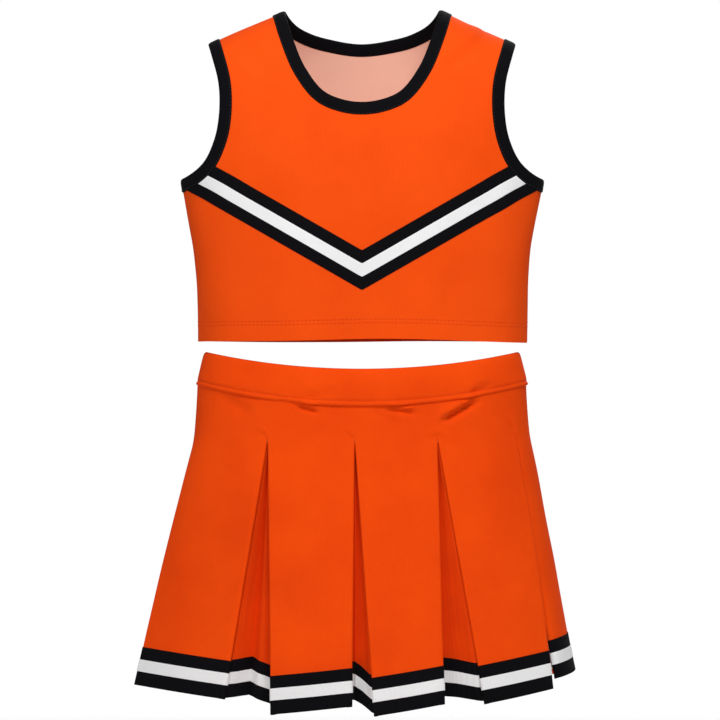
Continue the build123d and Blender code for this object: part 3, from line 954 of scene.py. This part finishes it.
# And how far its lower edge stands above the panels' corners at the left, in the valley and at the right
INSET_LIFTS = ((4, 9, 2), (0.6, 7.5, 6), (6, 6, 1.2), (6.5, 6.5, 1.5), (3, 3, 0.5), *[(4, 9, 2)] * 4)

# And at the hem, how far its left and right flaps reach behind the panels and how deep their ends lie there
FLAPS = (
    ((70, 7.7), (70, 7.7)), ((24, 2.1), (24, 2.1)), ((16, 1.6), (16, 1.6)), ((19, 1.8), (19, 1.8)),
    ((58, 6.1), (40, 3.0)), ((44, -6.0), (44, 4.2)), ((17, 1.7), (17, 1.7)), ((16, 1.6), (16, 1.6)),
    ((29, 2.6), (29, 2.6)))
BEHIND_PANEL = 3.4  # from a panel's right side to the underlay's
TOP_FLAP, TOP_FLAP_GROWTH = 5, 12  # a flap's width at the release line, and what the form's turn adds to it
FLAP_RISE = 0.21  # how much higher a flap's end stands, as a share of its width, by the form's turn


def across_panel(i, share):
    """The level direction over a panel's width from its left edge to its right edge, at each height."""
    return unit(panel_edge(i, share, "right") - panel_edge(i, share, "left"))


def inset_guides(i):
    """Lines down an underlay, from its hidden left end across the opening to its hidden right end."""
    left, right = slopes[i - 1], slopes[i]
    before = (i - 1) % PLEATS
    bisector = unit(left.level_out + right.level_out)
    half_turn = math.acos(min(1.0, float(bisector @ right.level_out)))
    share = np.linspace(0.02, 1.0, INSET_ROWS)
    f = share[:, None]
    swell = f ** 2
    left_edge = panel_edge(before, share, "right") - left.out * BEHIND_PANEL
    right_edge = panel_edge(i, share, "left") - right.out * BEHIND_PANEL
    turned = math.sin(half_turn)
    top_flap = TOP_FLAP + TOP_FLAP_GROWTH * turned
    (left_flap, left_depth), (right_flap, right_depth) = FLAPS[i]
    left_end = (left_edge - across_panel(before, share) * lerp(top_flap, left_flap, f)
                - left.out * lerp(1.4, left_depth, f))
    right_end = (right_edge + across_panel(i, share) * lerp(top_flap, right_flap, f)
                 - right.out * lerp(1.4, right_depth, f))
    opening = np.linalg.norm(right_edge[-1] - left_edge[-1])
    recess = 3.0 + min(19.0, 0.62 * opening) * f ** 0.9
    down = lerp(left.down, right.down, 0.5)
    lift_left, lift_valley, lift_right = INSET_LIFTS[i]
    folds = []
    for place, depth in INSET_FOLDS[i]:
        lift = lerp(lift_valley, lift_right, max(0.0, (place - 0.3) / 0.7))
        folds.append(lerp(left_edge, right_edge, place) - bisector * recess * depth - down * (lift * swell))
    left_edge = left_edge - left.down * (lift_left * swell)
    left_end = left_end - left.down * ((lift_left + 2 + FLAP_RISE * left_flap * turned) * swell)
    right_edge = right_edge - right.down * (lift_right * swell)
    right_end = right_end - right.down * ((lift_right + 3 + FLAP_RISE * right_flap * turned) * swell)
    return left_end, left_edge, *folds, right_edge, right_end


def inset_surface(i):
    guides = inset_guides(i)
    columns = [lerp(*guides[k:k + 2], c / count) for k, count in enumerate(INSET_COLUMNS) for c in range(count)]
    points = np.stack([*columns, guides[-1]], axis=1)
    kept = np.cumsum(INSET_COLUMNS)[:2]
    held = points[:, kept].copy()
    for _ in range(5):
        points[:, 1:-1] = (points[:, :-2] + 2 * points[:, 1:-1] + points[:, 2:]) / 4
    points[:, kept] = lerp(points[:, kept], held, 0.6)
    normal = grid_normals(points, (INSET_ROWS // 2, -3), slopes[i - 1].out + slopes[i].out)
    return points + normal * (0.3 * soft_noise(points, 21.0, i + 4.0))[..., None], normal


def inset_piece(i):
    """An underlay: a sheet that is thinnest at its two creases behind the panels' edges."""
    points, normal = inset_surface(i)
    column = np.arange(points.shape[1])
    creases = np.cumsum(INSET_COLUMNS)[[0, -2]]
    from_crease = np.min([abs(column - c) for c in creases], axis=0)
    thick = lerp(0.15, 1.0, smoothstep(0.5, 2.5, from_crease))
    back = points - normal * thick[None, :, None]
    # Its darker orange is painted shade for the recess the underlay lies in
    obj = slab(f"pleat_inset_{i + 1}", points, back, ORANGE_PAINTED_SHADE, wrong=True)
    return obj, grid_area(points) / PER_METRE ** 2, float(lengths_along(points[-1])[-1] / PER_METRE)


def inset_trim(i):
    points = inset_surface(i)[0]
    down = unit(slopes[i - 1].down + slopes[i].down)
    facing = unit(slopes[i - 1].out + slopes[i].out)
    return hem_trim(
        f"pleat_inset_{i + 1}", lambda level: rows_at(points, level), 0.5, 0.35, 0.25, down, facing)


insets, inset_tapes = [], []
for i in range(PLEATS):
    insets.append(inset_piece(i))
    inset_tapes.append(inset_trim(i))

# -------- waistband
# How far the band stands off the waist opening's ellipse at a few heights
BAND_SPREAD = ((-36, 3), (-12, 2), (0, -1), (26, -7.5))
BAND_AROUND = 420

# Down its outside from the top fold to the seam, then up its inside: (share of the height, how far out)
BAND_PROFILE = (
    (-0.035, 1.6), (-0.02, 2.8), (0.02, 3.5), (0.08, 3.8), (0.2, 3.9), (0.35, 3.9), (0.5, 3.85), (0.65, 3.8),
    (0.76, 3.75), (0.82, 3.6), (0.845, 3.2), (0.86, 3.05), (0.875, 3.2), (0.9, 3.75), (0.94, 4.0),
    (0.975, 3.75), (1.0, 3.0), (1.01, 2.1), (1.0, 0.4), (0.9, 0.0), (0.6, -0.1), (0.3, -0.1), (0.1, 0.0),
    (0.0, 0.35), (-0.03, 0.9))
SINK_STITCH = (0.86, 3.0)  # where the row of stitches lies, in the profile's narrow groove


def band_surface(t, share, off):
    x = (WAIST_A + 1) * np.sin(t)
    z = lerp(waist_top_z(x), seam_z(x), share)
    grow = np.interp(z, *zip(*BAND_SPREAD)) + off
    p = np.stack([(WAIST_A + grow) * np.sin(t), -(WAIST_B + grow) * np.cos(t), z], axis=-1)
    n = unit(np.stack([np.sin(t) * WAIST_B, -np.cos(t) * WAIST_A, 0 * t], axis=-1))
    ease = smoothstep(-0.05, 0.3, share) * (off > 1.5)
    soft = np.maximum(-0.95, 0.4 * soft_noise(p, 19.0, 2.0) + pucker(p) * 0.8) * ease
    return p + n * np.asarray(soft)[..., None], n


t = np.linspace(0, 2 * math.pi, BAND_AROUND, endpoint=False)
band_points = np.stack([band_surface(t, share, off)[0] for share, off in BAND_PROFILE], axis=1)
waistband = tube("skirt_waistband", band_points, ORANGE_SKIRT)
line, up = band_surface(np.linspace(0, 2 * math.pi, BAND_AROUND * 2 + 1), *SINK_STITCH)
waist_stitching = stitches("waist_topstitch", line, up, THREAD, length=2.8, gap=0.7, height=0.3)

# ======== which body each piece goes with

top_trimmings = [neck_binding, *arm_bindings.values(), neck_stitching, *arm_stitching.values(),
                 chevron_black, chevron_white, hem_turn_up, *hem_rows]
for piece in (top_front, top_back, *top_trimmings):
    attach(piece, "top")
for piece in (waistband, waist_stitching):
    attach(piece, "skirt_waist")

STANDS_FOR = (
    (top_front, "top_front_panel"), (top_back, "top_back_panel"), (neck_binding, "neck_binding"),
    *[(piece, f"armhole_binding_{word}") for word, piece in arm_bindings.items()],
    (chevron_black, "chevron_black_tape"), (chevron_white, "chevron_white_tape"),
    (hem_turn_up, "top_hem_turn_up"), *[(piece, "top_hem_stitching") for piece in hem_rows],
    (waistband, "waistband"), (waist_stitching, "waist_seam_stitching"))
for piece, node in STANDS_FOR:
    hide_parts(node)

for i in range(PLEATS):
    piece, area = panels[i]
    body = f"pleat_{i + 1}"
    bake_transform(piece)
    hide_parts(f"panel_{i + 1}", "skirt_yoke")
    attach(insets[i][0], f"inset_{i + 1}")
    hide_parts(f"underlay_{i + 1}")
    for tape, colour in zip(panel_tapes[i], ("black", "white")):
        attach(tape, body)
        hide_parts(f"panel_{i + 1}_{colour}_tape")
    for tape in inset_tapes[i]:
        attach(tape, f"inset_{i + 1}")
        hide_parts(f"underlay_{i + 1}_tape")

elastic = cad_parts["waist_elastic"]
elastic.data.materials.clear()
elastic.data.materials.append(ELASTIC)

# ======== each panel's and underlay's flat area and hem width, unpacked and not used further

for i in range(PLEATS):
    piece, area = panels[i]
    piece, area, hem_width = insets[i]

# ======== floor, light and camera

FLOOR_Z = cad_low[2] - 0.045
FLOOR_RADIUS, FLOOR_SIDES = 1.7, 96
FLOOR_FADE = (0.35, 1.25)  # metres from the middle, between which the floor fades out
WORLD_LIGHT = 0.36


def floor_cloth():
    """A pale, matt floor that fades into the white backdrop."""
    material, tree, shader = node_material("pale_floor")
    place = add(tree, "ShaderNodeTexCoord").outputs["Object"]
    tint = remap(tree, noise(tree, place, 2.0, 3.0), target=(0.894, 0.906))
    level = add(tree, "ShaderNodeVectorMath", {0: place, 1: (1, 1, 0)}, operation="MULTIPLY")
    away = add(tree, "ShaderNodeVectorMath", {0: level.outputs["Vector"]}, operation="LENGTH")
    shown = remap(tree, away.outputs["Value"], source=FLOOR_FADE, target=(1.0, 0.0), kind="SMOOTHSTEP")
    tree.links.new(tint, shader.inputs["Base Color"])
    tree.links.new(shown, shader.inputs["Alpha"])
    shader.inputs["Roughness"].default_value = 0.9
    return material


def area_light(name, place, aim, size, power):
    lamp = bpy.data.lights.new(name, "AREA")
    lamp.shape = "DISK"
    lamp.size = size
    lamp.energy = power
    obj = in_scene(name, lamp)
    obj.location = place
    obj.rotation_euler = (Vector(aim) - Vector(place)).to_track_quat("-Z", "Y").to_euler()


floor_points = [(0, 0, FLOOR_Z * PER_METRE)]
for k in range(FLOOR_SIDES):
    angle = 2 * math.pi * k / FLOOR_SIDES
    radius = FLOOR_RADIUS * PER_METRE
    floor_points.append((radius * math.cos(angle), radius * math.sin(angle), FLOOR_Z * PER_METRE))
floor_faces = [[0, 1 + k, 1 + (k + 1) % FLOOR_SIDES] for k in range(FLOOR_SIDES)]
floor = make_mesh("floor", floor_points, floor_faces, [floor_cloth()])

scene = bpy.context.scene
scene.world = bpy.data.worlds.new("studio")
scene.world.use_nodes = True
world_tree = scene.world.node_tree
backdrop = world_tree.nodes["Background"]
backdrop.inputs["Color"].default_value = (1, 1, 1, 1)
seen = add(world_tree, "ShaderNodeLightPath").outputs["Is Camera Ray"]
world_tree.links.new(remap(world_tree, seen, target=(WORLD_LIGHT, 1.0)), backdrop.inputs["Strength"])
scene.view_settings.view_transform = "Standard"
scene.view_settings.look = "None"

area_light("key", (0.15, -0.95, 1.0), (0, 0, 0.1), 0.6, 12)
area_light("fill", (-0.9, -1.7, 0.5), (0, 0, 0.1), 1.0, 6)
area_light("back", (0.6, 1.7, 1.2), (0, 0, 0), 1.2, 18)

LENS, FRAME_WIDTH = 500.0, 0.648
camera = bpy.data.cameras.new("camera")
camera.lens = LENS
camera.sensor_width = 36.0
camera.clip_end = 50
camera_object = in_scene("camera", camera)
distance = FRAME_WIDTH * LENS / camera.sensor_width
camera_object.location = (-0.0018, -0.045 - distance, 0.009)
camera_object.rotation_euler = (math.pi / 2, 0, 0)
scene.camera = camera_object
